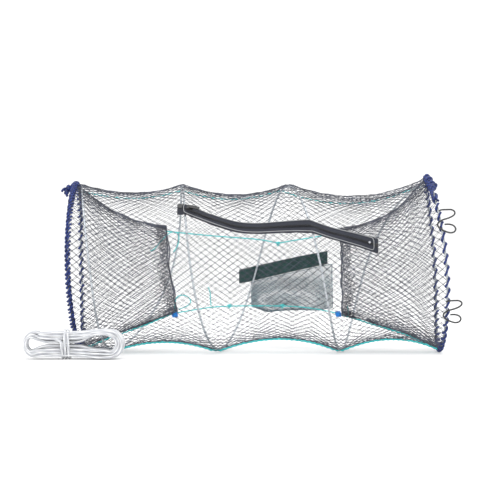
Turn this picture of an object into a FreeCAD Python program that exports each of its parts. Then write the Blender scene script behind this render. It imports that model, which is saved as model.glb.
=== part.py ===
import FreeCAD, Part
import math
import os

# Folding crab trap: two wire hoops, one spring wire coiled between them, a netting tube with a netting
# funnel at each end, a zipped catch door, a bait pouch, two locking clips and a hank of haul rope.
# +X runs along the trap, -Y is the side with the zip and the clips, +Z is up, and z = 0 is the ground.

Vector = FreeCAD.Vector
os.makedirs("parts", exist_ok=True)

# ---- driving dimensions, mm ----
WIRE_D = 3.5                      # spring wire of the hoops and the coil
LACING_D = 10.0                   # outside of the rope lacing round a hoop wire
FIT_GAP = 0.3                     # clear room between a piece and its neighbour
HOOP_STEPS = 32                   # runs in a hoop's path
LEFT_HOOP = {"radius": 140.0, "x": -311.5, "lean": -3.5, "bow": -3.5, "yaw": 0.0}
RIGHT_HOOP = {"radius": 146.0, "x": 300.0, "lean": -11.0, "bow": 6.5, "yaw": 3.5}
COIL_R = 140.0
COIL_STEPS_PER_QUARTER = 6
COIL_QUARTERS_X = [-302.5, -279.0, -246.5, -152.0, -132.6, -114.0, -68.0, -3.4, 47.6, 99.5, 138.5,
                   188.0, 273.5]  # x at each quarter turn, from the top of the left hoop
NET_T = 1.2
NET_X = (-298.0, 275.0)
NET_IN_R = 142.0
CORD_D = 2.0                      # seam and throat cord
SEAM_ANGLES = {"seam_bottom": -78.0, "seam_top": 113.0}

CLIP_WIRE_D = 2.7
CLIP_ANGLES = {"clip_upper": 28.0, "clip_lower": -30.0}
CLIP_PIVOT_X = -5.0               # from the hoop wire, on the trap's side
CLIP_STANDOFF = 6.8               # from the hoop wire, outwards
CLIP_OUTLINE = [(-3, 19.5), (1, 21.5), (17.8, 22), (22.8, 18.5), (22.8, 13.5), (18.9, 9.6), (11.5, 5.8),
                (3.1, 3.2), (-4.2, -0.8), (-7, -6.2), (-4.5, -11.8), (1, -16), (8.4, -19.7), (14.7, -21.4),
                (21, -19.3), (23.5, -13.5), (19.9, -7.4), (12.6, -5), (5, -5.6)]

ZIP_X = (-128.0, 192.0)
ZIP_ANGLE = (44.5, 15.5)          # above level, on the near side, at the zip's two ends
ZIP_R = 146.8
ZIP_TAPE_W = 9.5
ZIP_TAPE_T = 1.0
ZIP_TEETH_W = 3.6
ZIP_TEETH_T = 2.2
ZIP_STATIONS = 7
SLIDER_X = -116.0
SLIDER_SIZE = (11.0, 8.5, 2.0)    # length, width and thickness of each of its two plates
PULL_SIZE = (17.5, 6.0, 1.2)
STOP_SIZE = (7.0, 9.0, 2.0)
STOP_LIFT = 0.7                   # so that the zip's end clears the left hoop's lacing as the trap folds

BAIT_X = (-36.0, 120.0)
BAIT_ANGLE = (187.8, 173.4)  # the far side is at 180
BAIT_STRIP_W = 24.0
BAIT_STRIP_T = 1.4
BAIT_STRIP_R = 145.6
POUCH_X = (-14.0, 128.0)
POUCH_FOOT = 218.0         # the angle of its lowest edge
POUCH_BELOW_STRIP = 6.0    # degrees from the strip's middle line down to the pouch's mouth
POUCH_BULGE = 3.8
POUCH_STEPS = 8

HANK_Y = -172.0
HANK_SECTIONS = [(-386, 7, 14), (-379, 17, 23), (-358, 22, 25), (-330, 20, 21), (-313, 19, 20),
                 (-285, 21, 22), (-250, 24, 25), (-224, 19, 22), (-214, 7, 14)]

LEFT_HOOP["z"] = LEFT_HOOP["radius"] + LACING_D / 2
RIGHT_HOOP["z"] = RIGHT_HOOP["radius"] + LACING_D / 2
COIL_Z = COIL_R + WIRE_D / 2 + NET_T + 0.5
NET_OUT_R = NET_IN_R + NET_T

# Funnel sections: x, half height, half width, height of the middle.
FUNNEL_LEFT = [(-299.0, 133.0, 133.0, 144.0), (-240.0, 101.0, 75.0, 144.0),
               (-200.0, 83.0, 38.0, 142.0), (-152.0, 73.0, 8.0, 140.0)]
FUNNEL_RIGHT = [(276.0, 132.5, 132.5, 144.5), (238.0, 104.0, 84.0, 144.0),
                (200.0, 84.0, 46.0, 141.0), (140.0, 73.0, 8.0, 136.0)]
FUNNEL_T = 1.2

# Throat cords, as (x, z) in the trap's middle plane.
THROAT_CORD_UPPER = [(-145.5, 206), (-112, 202), (-76, 197.5), (-36, 193), (3, 190), (30, 184.5),
                     (66, 191), (102, 198), (133.5, 206)]
THROAT_CORD_LOWER = [(-145.5, 71), (-112, 73.5), (-80, 77), (-40, 78.5), (0, 78), (40, 78.6),
                     (76, 76.5), (106, 72.5), (133.5, 69)]


def ring(x, z, half_height, half_width):
    """An ellipse across the trap, as a wire."""
    major, minor = max(half_height, half_width + 0.001), min(half_height, half_width)
    up = half_height > half_width
    axis = Vector(0, 0, 1) if up else Vector(0, 1, 0)
    tip = Vector(x, 0, z) + axis * major
    side = Vector(x, 0, z) + (Vector(0, 1, 0) if up else Vector(0, 0, 1)) * minor
    return Part.Wire([Part.Ellipse(tip, side, Vector(x, 0, z)).toShape()])


def rounded_path(points, closed=False):
    """Straight runs joined by tangent arcs, each as large as its two runs allow."""
    points = [Vector(*p) for p in points]
    count = len(points)
    corners = range(count) if closed else range(1, count - 1)
    arcs, radii = {}, []
    for i in corners:
        here, before, after = points[i], points[i - 1], points[(i + 1) % count]
        into, out = (here - before), (after - here)
        turn = into.getAngle(out)
        setback = 0.45 * min(into.Length, out.Length)
        radii.append(setback / math.tan(turn / 2))
        into.normalize()
        out.normalize()
        start, end = here - into * setback, here + out * setback
        middle = (out - into).normalize()
        sagitta = radii[-1] * (1 / math.cos(turn / 2) - 1)
        arcs[i] = (start, here + middle * sagitta, end)
    edges = []
    if closed:
        for i in corners:
            edges.append(Part.Arc(*arcs[i]).toShape())
            edges.append(Part.makeLine(arcs[i][2], arcs[(i + 1) % count][0]))
    else:
        place = points[0]
        for i in corners:
            edges.append(Part.makeLine(place, arcs[i][0]))
            edges.append(Part.Arc(*arcs[i]).toShape())
            place = arcs[i][2]
        edges.append(Part.makeLine(place, points[-1]))
    return Part.Wire(edges), min(radii)


def tube(points, diameter, closed=False):
    """A round rod along a path of runs and tangent arcs."""
    path, tightest = rounded_path(points, closed)
    start = path.OrderedEdges[0]
    along = start.tangentAt(start.FirstParameter)
    centre = start.valueAt(start.FirstParameter)
    section = Part.Wire([Part.Circle(centre, along, diameter / 2).toShape()])
    sweep = Part.BRepOffsetAPI.MakePipeShell(Part.Wire(path.OrderedEdges))
    if closed:
        sweep.setBiNormalMode(Vector(1, 0, 0))
    else:
        sweep.setFrenetMode(True)
    sweep.add(section)
    sweep.build()
    sweep.makeSolid()
    solid = sweep.shape()
    expected = math.pi * diameter ** 2 / 4 * path.Length
    return solid, path.Length, tightest, solid.Volume / expected


def say_tube(name, result):
    """Print what a tube measures, and hand back its solid."""
    solid, length, tightest, share = result
    print(f"{name}: {length:.0f} mm long, tightest radius {tightest:.1f} mm, "
          f"volume {share:.3f} of section x length")
    return solid


def hoop_point(hoop, angle_deg, radius_add=0.0, x_add=0.0):
    """A point on a hoop; 0 is level on the near side, 90 is the top."""
    a = math.radians(angle_deg)
    r = hoop["radius"] + radius_add
    x = hoop["x"] + hoop["lean"] * math.sin(a) + hoop["bow"] * math.cos(2 * a) - hoop["yaw"] * math.cos(a)
    return Vector(x + x_add, -r * math.cos(a), hoop["z"] + r * math.sin(a))


def hoop_path(hoop):
    return [hoop_point(hoop, 360 * (i + 0.5) / HOOP_STEPS) for i in range(HOOP_STEPS)]


def between(values, place):
    """A smooth curve through evenly spaced values, at a place counted in steps."""
    i = min(int(place), len(values) - 2)
    t = place - i
    a = values[max(i - 1, 0)]
    b, c = values[i], values[i + 1]
    d = values[min(i + 2, len(values) - 1)]
    slope_b, slope_c = (c - a) / 2, (d - b) / 2
    return (b * (2 * t ** 3 - 3 * t ** 2 + 1) + slope_b * (t ** 3 - 2 * t ** 2 + t)
            + c * (3 * t ** 2 - 2 * t ** 3) + slope_c * (t ** 3 - t ** 2))


def coil_path():
    """Three turns from the top of one hoop, down the near side and up the far side."""
    points = []
    for i in range((len(COIL_QUARTERS_X) - 1) * COIL_STEPS_PER_QUARTER + 1):
        quarter = i / COIL_STEPS_PER_QUARTER
        a = math.radians(90 - 90 * quarter)
        x = between(COIL_QUARTERS_X, quarter)
        points.append((x, -COIL_R * math.cos(a), COIL_Z + COIL_R * math.sin(a)))
    return points


def wall_frame(x, angle_deg, radius):
    """A place on the net wall with its outward and its upward-tangent directions."""
    a = math.radians(angle_deg)
    out = Vector(0, -math.cos(a), math.sin(a))
    around = Vector(0, math.sin(a), math.cos(a))
    return Vector(x, 0, COIL_Z) + out * radius, out, around


def strip(x_range, angles, radius, across, width, thickness, stations=ZIP_STATIONS):
    """A straight flat band on the net wall, which twists with it; across is its shift round the wall."""
    ends = [wall_frame(x, a, radius)[0] for x, a in zip(x_range, angles)]
    sections = []
    for i in range(stations):
        t = i / (stations - 1)
        centre = ends[0] + (ends[1] - ends[0]) * t
        _, out, around = wall_frame(0, angles[0] + (angles[1] - angles[0]) * t, radius)
        corners = [centre + around * (across + s * width / 2) + out * (h * thickness / 2)
                   for s, h in ((-1, -1), (1, -1), (1, 1), (-1, 1), (-1, -1))]
        sections.append(Part.makePolygon(corners))
    return Part.makeLoft(sections, True, True)


def shell_loft(sections, thickness):
    """A thin wall of netting through elliptical sections, open at both ends."""
    outer = Part.makeLoft([ring(x, z, h + thickness, w + thickness) for x, h, w, z in sections], True, True)
    inner = Part.makeLoft([ring(x, z, h, w) for x, h, w, z in sections], True, True)
    return outer.cut(inner)


def knot(centre, size):
    """A tied lump of cord: a ball stretched to size."""
    ball = Part.makeSphere(1.0)
    stretch = FreeCAD.Matrix(size[0], 0, 0, centre[0], 0, size[1], 0, centre[1],
                             0, 0, size[2], centre[2], 0, 0, 0, 1)
    return ball.transformGeometry(stretch)


def board(centre, along, across, size):
    """A rounded plate; along and across are unit directions in its plane."""
    out = along.cross(across)
    plate = Part.makeBox(size[0], size[1], size[2], Vector(-size[0] / 2, -size[1] / 2, -size[2] / 2))
    upright = [e for e in plate.Edges if abs(e.tangentAt(e.FirstParameter).z) > 0.9]
    plate = plate.makeFillet(min(size[0], size[1]) * 0.24, upright)
    turn = FreeCAD.Matrix(along.x, across.x, out.x, centre.x, along.y, across.y, out.y, centre.y,
                          along.z, across.z, out.z, centre.z, 0, 0, 0, 1)
    return plate.transformGeometry(turn)


def zip_place(x):
    """The middle of the zip at x, with its directions along, across and out."""
    t = (x - ZIP_X[0]) / (ZIP_X[1] - ZIP_X[0])
    ends = [wall_frame(e, a, ZIP_R)[0] for e, a in zip(ZIP_X, ZIP_ANGLE)]
    along = (ends[1] - ends[0]).normalize()
    _, out, _ = wall_frame(0, ZIP_ANGLE[0] + (ZIP_ANGLE[1] - ZIP_ANGLE[0]) * t, ZIP_R)
    out = (out - along * out.dot(along)).normalize()
    return ends[0] + (ends[1] - ends[0]) * t, along, out.cross(along), out


def rim(section, gap):
    """The closed cord round a throat's slit, just past the end of the netting."""
    x, half_height, half_width, z = section
    r = half_width + FUNNEL_T / 2
    flat = half_height - r
    side = 1 if gap > 0 else -1
    x_rim = x + side * (abs(gap) + CORD_D / 2)
    top, bottom = z + flat, z - flat
    near_top, far_top = Vector(x_rim, -r, top), Vector(x_rim, r, top)
    near_foot, far_foot = Vector(x_rim, -r, bottom), Vector(x_rim, r, bottom)
    edges = [Part.makeLine(near_foot, near_top),
             Part.Arc(near_top, Vector(x_rim, 0, top + r), far_top).toShape(),
             Part.makeLine(far_top, far_foot),
             Part.Arc(far_foot, Vector(x_rim, 0, bottom - r), near_foot).toShape()]
    circle = Part.Circle(Vector(x_rim, -r, bottom), Vector(0, 0, 1), CORD_D / 2)
    return Part.Wire(edges).makePipeShell([Part.Wire([circle.toShape()])], True, True)


def funnel_seam(sections, drop):
    """The cord that closes a funnel's netting along its underside."""
    corners = [(x, 0, z - half_height - drop) for x, half_height, _, z in sections]
    start = Vector(*corners[0]) * 0.9 + Vector(*corners[1]) * 0.1
    return [tuple(start)] + corners[1:]


def clip(angle_deg):
    """A bent wire clip that lies against the outside of the right hoop."""
    base = hoop_point(RIGHT_HOOP, angle_deg)
    a = math.radians(angle_deg)
    out = Vector(0, -math.cos(a), math.sin(a))
    around = Vector(0, math.sin(a), math.cos(a))
    return [tuple(base + Vector(x, 0, 0) + around * t + out * CLIP_STANDOFF) for x, t in CLIP_OUTLINE]


def pouch():
    """The flat bait pouch against the outside of the far wall, with its mouth along the closure strip."""
    sections = []
    for i in range(POUCH_STEPS + 1):
        x = POUCH_X[0] + (POUCH_X[1] - POUCH_X[0]) * i / POUCH_STEPS
        along = (x - BAIT_X[0]) / (BAIT_X[1] - BAIT_X[0])
        first = BAIT_ANGLE[0] + (BAIT_ANGLE[1] - BAIT_ANGLE[0]) * along + POUCH_BELOW_STRIP
        share = min(1.0, 0.72 + (x - POUCH_X[0]) / 100, 0.9 + (POUCH_X[1] - x) / 300)
        last = first + (POUCH_FOOT - first) * share
        sweep = [(first + (last - first) * k / POUCH_STEPS, k / POUCH_STEPS) for k in range(POUCH_STEPS + 1)]
        inner = [wall_frame(x, angle, NET_OUT_R + 0.6)[0] for angle, down in sweep]
        outer = [wall_frame(x, angle, NET_OUT_R + 2.0 + POUCH_BULGE * math.sin(math.pi * down))[0]
                 for angle, down in reversed(sweep)]
        sections.append(Part.makePolygon(inner + outer + [inner[0]]))
    return Part.makeLoft(sections, True, True)


def build():
    """Every piece of the trap, by node name."""
    made = {}
    for side, hoop in (("left", LEFT_HOOP), ("right", RIGHT_HOOP)):
        path = hoop_path(hoop)
        wire = say_tube(f"{side}_hoop", tube(path, WIRE_D, closed=True))
        sleeve = say_tube(f"lacing_{side}", tube(path, LACING_D, closed=True))
        room = tube(path, WIRE_D + 2 * FIT_GAP, closed=True)[0]
        made[f"{side}_hoop"] = wire
        made[f"lacing_{side}"] = sleeve.cut(room)
    made["spring_coil"] = say_tube("spring_coil", tube(coil_path(), WIRE_D))

    outer = Part.makeCylinder(NET_OUT_R, NET_X[1] - NET_X[0], Vector(NET_X[0], 0, COIL_Z), Vector(1, 0, 0))
    inner = Part.makeCylinder(NET_IN_R, NET_X[1] - NET_X[0], Vector(NET_X[0], 0, COIL_Z), Vector(1, 0, 0))
    door = strip((ZIP_X[0] - 8, ZIP_X[1] + 8), ZIP_ANGLE, NET_OUT_R, 0, 2 * ZIP_TAPE_W + ZIP_TEETH_W + 4, 24)
    made["net_body"] = outer.cut(inner).cut(door)
    made["funnel_left"] = shell_loft(FUNNEL_LEFT, FUNNEL_T)
    made["funnel_right"] = shell_loft(FUNNEL_RIGHT, FUNNEL_T)
    made["throat_rim_left"] = rim(FUNNEL_LEFT[-1], FIT_GAP)
    made["throat_rim_right"] = rim(FUNNEL_RIGHT[-1], -FIT_GAP)
    for name, places in (("throat_cord_upper", THROAT_CORD_UPPER), ("throat_cord_lower", THROAT_CORD_LOWER)):
        made[name] = say_tube(name, tube([(x, 0, z) for x, z in places], CORD_D))
    made["throat_tie_left"] = knot((-145.0, 0, 61.5), (4.0, 4.0, 3.6))
    made["throat_tie_right"] = knot((133.0, 0, 58.0), (4.0, 4.0, 3.6))
    for name, sections in (("funnel_seam_left", FUNNEL_LEFT), ("funnel_seam_right", FUNNEL_RIGHT)):
        made[name] = say_tube(name, tube(funnel_seam(sections, 3.5), CORD_D))
    seam_r = NET_OUT_R + CORD_D / 2 + FIT_GAP
    seam_x = (NET_X[0] + 2, NET_X[1] - 2)
    for name, angle in SEAM_ANGLES.items():
        start = wall_frame(seam_x[0], angle, seam_r)[0]
        made[name] = Part.makeCylinder(CORD_D / 2, seam_x[1] - seam_x[0], start, Vector(1, 0, 0))

    made["lacing_knot_left"] = knot(tuple(hoop_point(LEFT_HOOP, 84, 0, -15.7)), (9.0, 8.0, 9.0))
    made["lacing_knot_right"] = knot(tuple(hoop_point(RIGHT_HOOP, 86, 0, 13.8)), (8.0, 8.0, 7.0))
    for name, angle in CLIP_ANGLES.items():
        made[name] = say_tube(name, tube(clip(angle), CLIP_WIRE_D))

    half = (ZIP_TAPE_W + ZIP_TEETH_W) / 2 + FIT_GAP
    made["zip_tape_upper"] = strip(ZIP_X, ZIP_ANGLE, ZIP_R, half, ZIP_TAPE_W, ZIP_TAPE_T)
    made["zip_tape_lower"] = strip(ZIP_X, ZIP_ANGLE, ZIP_R, -half, ZIP_TAPE_W, ZIP_TAPE_T)
    made["zip_teeth"] = strip(ZIP_X, ZIP_ANGLE, ZIP_R, 0, ZIP_TEETH_W, ZIP_TEETH_T)
    place, along, across, out = zip_place(SLIDER_X)
    lift = ZIP_TEETH_T / 2 + 0.6 + SLIDER_SIZE[2] / 2
    made["zip_slider"] = board(place + out * lift, along, across, SLIDER_SIZE)
    pull_lift = lift + SLIDER_SIZE[2] / 2 + 0.5 + PULL_SIZE[2] / 2
    pull_middle = place + out * pull_lift + along * (PULL_SIZE[0] / 2 - 2)
    made["zip_pull"] = board(pull_middle, along, across, PULL_SIZE)
    for name, x in (("zip_stop_left", ZIP_X[0] - 4.5), ("zip_stop_right", ZIP_X[1] + 4.5)):
        place, along, across, out = zip_place(x)
        made[name] = board(place + out * STOP_LIFT, along, across, STOP_SIZE)

    made["bait_strip_hook"] = strip(BAIT_X, BAIT_ANGLE, BAIT_STRIP_R, 0, BAIT_STRIP_W, BAIT_STRIP_T)
    made["bait_strip_loop"] = strip(BAIT_X, BAIT_ANGLE, BAIT_STRIP_R + BAIT_STRIP_T + FIT_GAP, 0,
                                    BAIT_STRIP_W, BAIT_STRIP_T)
    made["bait_pouch"] = pouch()
    hank = Part.makeLoft([ring(x, h, h, w).translated(Vector(0, HANK_Y, 0)) for x, w, h in HANK_SECTIONS],
                         True, True)
    made["haul_rope_hank"] = hank
    return made


def main():
    """Build every piece, write it as STEP, and print the box that they fill without the hank."""
    box = FreeCAD.BoundBox()
    for name, shape in build().items():
        if not shape.isValid() or shape.Volume <= 0:
            print(f"BAD {name}: valid {shape.isValid()}, volume {shape.Volume:.1f}")
        shape.exportStep(f"parts/{name}.step")
        if name != "haul_rope_hank":
            box.add(shape.BoundBox)
    print("box without the hank:", box)


main()
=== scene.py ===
"""Dresses the folding crab trap: netting, lacing, cords, zip, bait pouch, haul rope and a plain studio.

The frame is in metres: +X along the trap, -Y the side with the zip and the clips, +Z up, the ground at z = 0.
Places round the trap are angles in degrees: 0 is level on the near side, 90 the top, 180 the far side.
"""

import logging
import math
from collections.abc import Callable, Iterable, Sequence
from dataclasses import dataclass
from enum import Enum
from functools import partial

import bmesh
import bpy
from mathutils import Matrix, Vector, noise


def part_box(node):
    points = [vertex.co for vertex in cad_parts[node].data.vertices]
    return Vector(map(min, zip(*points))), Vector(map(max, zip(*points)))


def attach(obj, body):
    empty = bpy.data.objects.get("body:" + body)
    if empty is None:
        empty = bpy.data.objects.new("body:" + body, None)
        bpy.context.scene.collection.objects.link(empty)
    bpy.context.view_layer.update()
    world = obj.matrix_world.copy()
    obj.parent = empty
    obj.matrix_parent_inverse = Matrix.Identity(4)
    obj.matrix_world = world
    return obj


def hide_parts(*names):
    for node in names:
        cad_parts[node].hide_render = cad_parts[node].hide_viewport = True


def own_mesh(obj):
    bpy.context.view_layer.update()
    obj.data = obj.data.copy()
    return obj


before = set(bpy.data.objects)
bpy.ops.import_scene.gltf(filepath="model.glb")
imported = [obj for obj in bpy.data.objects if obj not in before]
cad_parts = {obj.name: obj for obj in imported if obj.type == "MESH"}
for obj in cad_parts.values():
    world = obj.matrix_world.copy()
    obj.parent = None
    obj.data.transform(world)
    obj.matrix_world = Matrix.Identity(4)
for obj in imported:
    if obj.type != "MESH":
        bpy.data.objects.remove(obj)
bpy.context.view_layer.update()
LOG = logging.getLogger("crab_trap")
MM = 0.001
SEED = 7

Colour = tuple[float, float, float, float]
Line = Callable[[float], Vector]
Surface = Callable[[float, float], Vector]
Socket = bpy.types.NodeSocket


class Body(Enum):
    """The bodies that this script's pieces ride on."""

    TRAP = "trap"
    RIGHT_END = "right_end"
    BAIT_FLAP = "bait_flap"


class Lay(Enum):
    """How a cord's strands run, as the ways in which their ridges slant."""

    TWISTED = ("ADD",)
    BRAIDED = ("ADD", "SUBTRACT")


# ---- small tools ----


def linear(hex_code: str) -> Colour:
    """Turn an sRGB hex colour into a linear one with full alpha.

    Args:
        hex_code: The colour, such as "#1d2f6f".

    Returns:
        Red, green, blue and alpha, ready for a shader socket.
    """
    values = [int(hex_code[i:i + 2], 16) / 255 for i in (1, 3, 5)]
    red, green, blue = (v / 12.92 if v <= 0.04045 else ((v + 0.055) / 1.055) ** 2.4 for v in values)
    return red, green, blue, 1.0


def add_node(tree: bpy.types.NodeTree, kind: str, settings: dict | None = None,
             links: dict | None = None) -> bpy.types.Node:
    """Add a node with its settings and its links.

    Args:
        tree: The node tree that takes the node.
        kind: The node's type name.
        settings: Values by name; a name the node has as a property is set there, any other on that input.
        links: Output sockets by the name or number of the input that they feed.

    Returns:
        The new node.
    """
    node = tree.nodes.new(kind)
    for name, value in (settings or {}).items():
        if isinstance(name, str) and hasattr(node, name):
            setattr(node, name, value)
        else:
            node.inputs[name].default_value = value
    for name, source in (links or {}).items():
        tree.links.new(source, node.inputs[name])
    return node


def along_values(values: Sequence[float], place: float) -> float:
    """Follow a smooth curve through evenly spaced values.

    Args:
        values: The values at 0, 1, 2 and so on.
        place: Where to read the curve, counted in steps.

    Returns:
        The curve's value there.
    """
    i = min(max(int(place), 0), len(values) - 2)
    t = place - i
    before, here = values[max(i - 1, 0)], values[i]
    after, beyond = values[i + 1], values[min(i + 2, len(values) - 1)]
    leaving, arriving = (after - before) / 2, (beyond - here) / 2
    return (here * (2 * t ** 3 - 3 * t ** 2 + 1) + leaving * (t ** 3 - 2 * t ** 2 + t)
            + after * (3 * t ** 2 - 2 * t ** 3) + arriving * (t ** 3 - t ** 2))


def bump_at(value: float, middle: float, reach: float) -> float:
    """A smooth hump of height 1 at middle that falls to 0 at reach to either side."""
    t = min(abs(value - middle) / reach, 1.0)
    return (1 - t * t) ** 2


def wander(place: Vector, amount: float) -> Vector:
    """A steady, repeatable shift that differs from place to place, up to about amount each way."""
    return noise.noise_vector(place) * amount


def outward(degrees: float) -> Vector:
    """The direction straight away from the trap's middle line at an angle round it."""
    return Vector((0, -math.cos(math.radians(degrees)), math.sin(math.radians(degrees))))


def cord_curve(name: str, routes: Iterable[Sequence[Vector]], diameter: float, sides: int = 2,
               rings: int = 3, closed: bool = False) -> bpy.types.Object:
    """Make round cord along smooth routes.

    Args:
        name: The object's name.
        routes: The control points of each length of cord.
        diameter: The cord's thickness.
        sides: Roundness, as extra pairs of faces beyond four.
        rings: Rings of faces for each control point.
        closed: Whether each route joins up with its own start.

    Returns:
        A curve object, linked to the scene.
    """
    curve = bpy.data.curves.new(name, "CURVE")
    curve.dimensions = "3D"
    curve.bevel_depth = diameter / 2
    curve.bevel_resolution = sides
    curve.resolution_u = rings
    curve.use_fill_caps = True
    for route in routes:
        spline = curve.splines.new("NURBS")
        spline.points.add(len(route) - 1)
        for point, place in zip(spline.points, route):
            point.co = (*place, 1.0)
        spline.order_u = 3
        spline.use_endpoint_u = not closed
        spline.use_cyclic_u = closed
    piece = bpy.data.objects.new(name, curve)
    bpy.context.scene.collection.objects.link(piece)
    return piece


def route_length(route: Sequence[Vector]) -> float:
    """The length of the straight runs between a route's points."""
    return sum((b - a).length for a, b in zip(route, route[1:]))


def cord_mesh(name: str, routes: Sequence[Sequence[Vector]], diameter: float, sides: int = 2,
              rings: int = 3, closed: bool = False) -> bpy.types.Object:
    """Make round cord as a mesh whose UV map runs in metres along it and from 0 to 1 around it.

    Args:
        name: The object's name.
        routes: The control points of each length of cord.
        diameter: The cord's thickness.
        sides: Roundness, as extra pairs of faces beyond four.
        rings: Rings of faces for each control point.
        closed: Whether each route joins up with its own start.

    Returns:
        A mesh object, linked to the scene.
    """
    curve = cord_curve(name, routes, diameter, sides, rings, closed)
    mesh = bpy.data.meshes.new_from_object(curve)
    data = curve.data
    bpy.data.objects.remove(curve)
    bpy.data.curves.remove(data)
    mean_length = sum(route_length(r) for r in routes) / len(routes)
    for corner in mesh.uv_layers[0].data:
        corner.uv = (corner.uv[0] * mean_length, corner.uv[1])
    return shown(name, mesh)


def shown(name: str, shape: bpy.types.Mesh | bmesh.types.BMesh) -> bpy.types.Object:
    """Put a finished shape in the scene, smooth-shaded.

    Args:
        name: The object's name.
        shape: A mesh, or a bmesh, which is freed.

    Returns:
        The new object.
    """
    mesh = shape
    if isinstance(shape, bmesh.types.BMesh):
        mesh = bpy.data.meshes.new(name)
        shape.to_mesh(mesh)
        shape.free()
    mesh.name = name
    mesh.shade_smooth()
    piece = bpy.data.objects.new(name, mesh)
    bpy.context.scene.collection.objects.link(piece)
    return piece


def knot_route(middle: Vector, size: float, turn: Matrix, points: int = 21) -> list[Vector]:
    """The route of a tied knot, as a trefoil.

    Args:
        middle: The knot's centre.
        size: Half its width.
        turn: How it is turned.
        points: How many points the route has.

    Returns:
        The points of a closed loop.
    """
    route = []
    for i in range(points):
        a = 2 * math.pi * i / points
        local = Vector((math.sin(a) + 2 * math.sin(2 * a), math.cos(a) - 2 * math.cos(2 * a),
                        -1.2 * math.sin(3 * a)))
        route.append(middle + turn @ (local * size / 3))
    return route


# ---- finishes ----


class Mixing:
    """A material in the making: most of its methods add one node and give back that node's output."""

    def __init__(self, name: str) -> None:
        """Start the material.

        Args:
            name: The material's name.
        """
        self.material = bpy.data.materials.new(name)
        self.material.use_nodes = True
        self.tree = self.material.node_tree
        self.place = add_node(self.tree, "ShaderNodeTexCoord").outputs["Object"]

    def noise(self, scale: float, detail: float, place: Socket | None = None) -> Socket:
        """Add cloudy noise.

        Args:
            scale: How fine it is.
            detail: How many finer layers it has.
            place: The coordinates that it reads, or None for the object's own.

        Returns:
            Its strength.
        """
        settings = {"Scale": scale, "Detail": detail}
        return add_node(self.tree, "ShaderNodeTexNoise", settings, {"Vector": place or self.place}).outputs[0]

    def ranged(self, value: Socket, low: float = 0.0, high: float = 1.0, first: float = 0.0,
               last: float = 1.0, easing: str = "LINEAR") -> Socket:
        """Spread a value from one range over another.

        Args:
            value: The value.
            low: What becomes first.
            high: What becomes last.
            first: The new range's start.
            last: The new range's end.
            easing: The kind of interpolation.

        Returns:
            The new value.
        """
        settings = {"interpolation_type": easing, "From Min": low, "From Max": high, "To Min": first,
                    "To Max": last}
        return add_node(self.tree, "ShaderNodeMapRange", settings, {"Value": value}).outputs[0]

    def maths(self, operation: str, *terms: Socket | float) -> Socket:
        """Add one step of arithmetic.

        Args:
            operation: What is done.
            terms: Outputs and plain numbers, in the order of the node's inputs.

        Returns:
            The outcome.
        """
        links = {i: term for i, term in enumerate(terms) if isinstance(term, Socket)}
        numbers = {i: term for i, term in enumerate(terms) if i not in links}
        return add_node(self.tree, "ShaderNodeMath", {"operation": operation, **numbers}, links).outputs[0]

    def tones(self, share: Socket, first: str, second: str) -> Socket:
        """Mix two colours.

        Args:
            share: The second colour's share.
            first: One colour, as sRGB hex.
            second: The other.

        Returns:
            The mixed colour.
        """
        settings = {"data_type": "RGBA", 6: linear(first), 7: linear(second)}
        return add_node(self.tree, "ShaderNodeMix", settings, {0: share}).outputs[2]

    def raised(self, height: Socket, strength: float, distance: float) -> Socket:
        """Let the surface rise and fall.

        Args:
            height: How high it stands, from 0 to 1.
            strength: How much of that shows.
            distance: The greatest height, in metres.

        Returns:
            The surface's new normal.
        """
        settings = {"Strength": strength, "Distance": distance}
        return add_node(self.tree, "ShaderNodeBump", settings, {"Height": height}).outputs[0]

    def threads(self) -> tuple[Socket, Socket, Socket]:
        """Read the piece's own UV map.

        Returns:
            The map, and its two directions.
        """
        both = add_node(self.tree, "ShaderNodeUVMap").outputs[0]
        split = add_node(self.tree, "ShaderNodeSeparateXYZ", links={0: both})
        return both, split.outputs[0], split.outputs[1]

    def done(self, inputs: dict[str, Socket | float | Colour]) -> bpy.types.Material:
        """Feed the principled shader.

        Args:
            inputs: Outputs or plain values, by the name of the input.

        Returns:
            The material.
        """
        shader = self.tree.nodes["Principled BSDF"]
        for name, value in inputs.items():
            if isinstance(value, Socket):
                self.tree.links.new(value, shader.inputs[name])
            else:
                shader.inputs[name].default_value = value
        return self.material


@dataclass(frozen=True)
class Finish:
    """What every finish shares: a name, and a way to make its material."""

    name: str

    def make(self) -> bpy.types.Material:
        """Make the material."""
        raise NotImplementedError


@dataclass(frozen=True)
class DrawnSteelWire(Finish):
    """Zinc-coated spring steel, cold drawn: grey and satin, with faint dull patches of weathered zinc."""

    bright: str = "#d6dade"
    dull: str = "#a0a7ae"
    roughness: float = 0.36

    def make(self) -> bpy.types.Material:
        """Make the wire's material.

        Returns:
            The material.
        """
        mix = Mixing(self.name)
        patches = mix.noise(90.0, 4.0)
        drawing_grain = mix.noise(1400.0, 2.0)
        return mix.done({
            "Metallic": 1.0,
            "Base Color": mix.tones(patches, self.dull, self.bright),
            "Roughness": mix.ranged(patches, first=self.roughness + 0.14, last=self.roughness - 0.1),
            "Normal": mix.raised(drawing_grain, 0.25, 0.0002),
        })


@dataclass(frozen=True)
class DippedWire(Finish):
    """Steel wire dipped in dark grey vinyl: a soft, slightly uneven plastic skin with broad highlights."""

    colour: str = "#1f2022"
    worn: str = "#3c3d40"
    roughness: float = 0.38

    def make(self) -> bpy.types.Material:
        """Make the clip wire's material.

        Returns:
            The material.
        """
        mix = Mixing(self.name)
        ripple = mix.noise(260.0, 3.0)
        scuffs = mix.ranged(ripple, 0.56, 0.72)
        return mix.done({
            "Base Color": mix.tones(scuffs, self.colour, self.worn),
            "Roughness": self.roughness,
            "IOR": 1.53,
            "Normal": mix.raised(ripple, 0.2, 0.0003),
        })


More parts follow.
